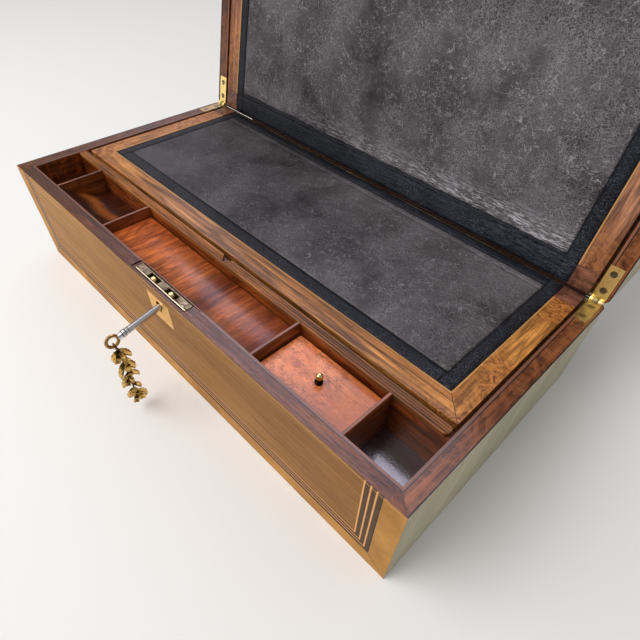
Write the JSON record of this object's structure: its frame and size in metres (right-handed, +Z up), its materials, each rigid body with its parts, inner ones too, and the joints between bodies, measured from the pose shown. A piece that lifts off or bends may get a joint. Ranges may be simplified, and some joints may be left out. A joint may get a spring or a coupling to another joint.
{
  "type": "writing slope",
  "caption": "Table writing slope: diagonally split hinged box with leather writing flaps in both halves, a compartment tray, a lock and a key with a hanging fob.",
  "frame": {"origin": "middle of the underside of the base, on the surface it stands on", "axes": "+X along the box from left to right seen from the lock side, +Y from the lock side to the hinge side, +Z up"},
  "size_m": [0.457, 0.395, 0.3156],
  "materials": {
    "front_veneer": "french polished",
    "veneer": "french polished",
    "carcass": "oiled",
    "rosewood": "french polished",
    "lining": "french polished",
    "walnut": "french polished",
    "tray_wood": "french polished",
    "rail_wood": "french polished",
    "border_leather": "pebbled",
    "panel_leather": "worn",
    "brass": "polished",
    "dull_brass": "tarnished",
    "nickel": "worn nickel plate",
    "steel": "satin",
    "dark_steel": "aged",
    "gilt": "gilt"
  },
  "bodies": {
    "base": {"base_bottom": "carcass", "base_front_wall": "carcass", "base_back_wall": "carcass", "base_left_wall": "carcass", "base_right_wall": "carcass", "base_rims": "rosewood", "base_linings": "lining", "base_front_veneer": "front_veneer", "base_veneers": "veneer", "compartment_floor": "lining", "compartment_back": "lining", "reeded_rail": "rail_wood", "divider_1": "lining", "divider_2": "lining", "divider_3": "lining", "divider_4": "lining", "shallow_well_floor": "tray_wood", "board_ledges": "lining", "base_flap_ledges": "carcass", "base_hinge_strip": "walnut", "base_strip_leather": "border_leather", "escutcheon": "brass", "lock_selvage": "nickel", "lock_case": "dull_brass", "lock_drill_pin": "steel", "lock_screws": "dark_steel", "base_hinge_leaves": "dull_brass", "hinge_pins": "brass", "base_hinge_screws": "dark_steel"},
    "lid": {"lid_front_wall": "carcass", "lid_back_wall": "carcass", "lid_left_wall": "carcass", "lid_right_wall": "carcass", "lid_top": "carcass", "lid_rims": "rosewood", "lid_linings": "lining", "lid_veneers": "veneer", "lid_hinge_strip": "walnut", "lid_strip_leather": "border_leather", "lid_flap_ledges": "carcass", "lid_link_plate": "nickel", "link_screws": "dark_steel", "lid_hinge_leaves": "brass", "lid_hinge_screws": "dark_steel"},
    "base_flap": {"base_flap_frame": "walnut", "base_flap_panel": "carcass", "base_flap_border": "border_leather", "base_flap_leather": "panel_leather"},
    "lid_flap": {"lid_flap_frame": "walnut", "lid_flap_panel": "carcass", "lid_flap_border": "border_leather", "lid_flap_leather": "panel_leather"},
    "bolt": {"lock_bolt": "steel"},
    "key": {"key_shank": "steel", "key_bow": "brass"},
    "fob": {"fob_ring": "gilt", "fob_leaves": "gilt"},
    "pen_board": {"pen_board": "tray_wood"},
    "cover": {"cover_board": "tray_wood", "cover_knob": "brass"}
  },
  "joints": [
    {"name": "lid_hinge", "type": "hinge", "parent": "base", "child": "lid", "pos_m": [0, 0.1181, 0.0835], "axis": [-1, 0, 0], "range_deg": [-96.3, 83.7]},
    {"name": "base_flap_hinge", "type": "hinge", "parent": "base", "child": "base_flap", "pos_m": [0, 0.10015, 0.08461], "axis": [-1, 0, 0], "range_deg": [0, 85]},
    {"name": "lid_flap_hinge", "type": "hinge", "parent": "lid", "child": "lid_flap", "pos_m": [0, 0.12266, 0.10106], "axis": [1, 0, 0], "range_deg": [0, 85]},
    {"name": "key_turn", "type": "hinge", "parent": "base", "child": "key", "pos_m": [0.002, -0.10895, 0.0895], "axis": [0, 0.9928, 0.1201], "range_deg": [0, 180]},
    {"name": "bolt_slide", "type": "slide", "parent": "base", "child": "bolt", "axis": [1, 0, 0], "range_m": [0, 0.006]},
    {"name": "fob_swing", "type": "hinge", "parent": "key", "child": "fob", "pos_m": [0.00274, -0.15938, 0.07876], "axis": [0, 1, 0], "range_deg": [-80, 80]},
    {"name": "pen_board_lift", "type": "slide", "parent": "base", "child": "pen_board", "axis": [0, 0, 1], "range_m": [0, 0.06]},
    {"name": "cover_lift", "type": "slide", "parent": "base", "child": "cover", "axis": [0, 0, 1], "range_m": [0, 0.05]}
  ],
  "couplings": [
    {"joint": "key_turn", "follows": "bolt_slide", "rad_per_m": 523.6}
  ]
}
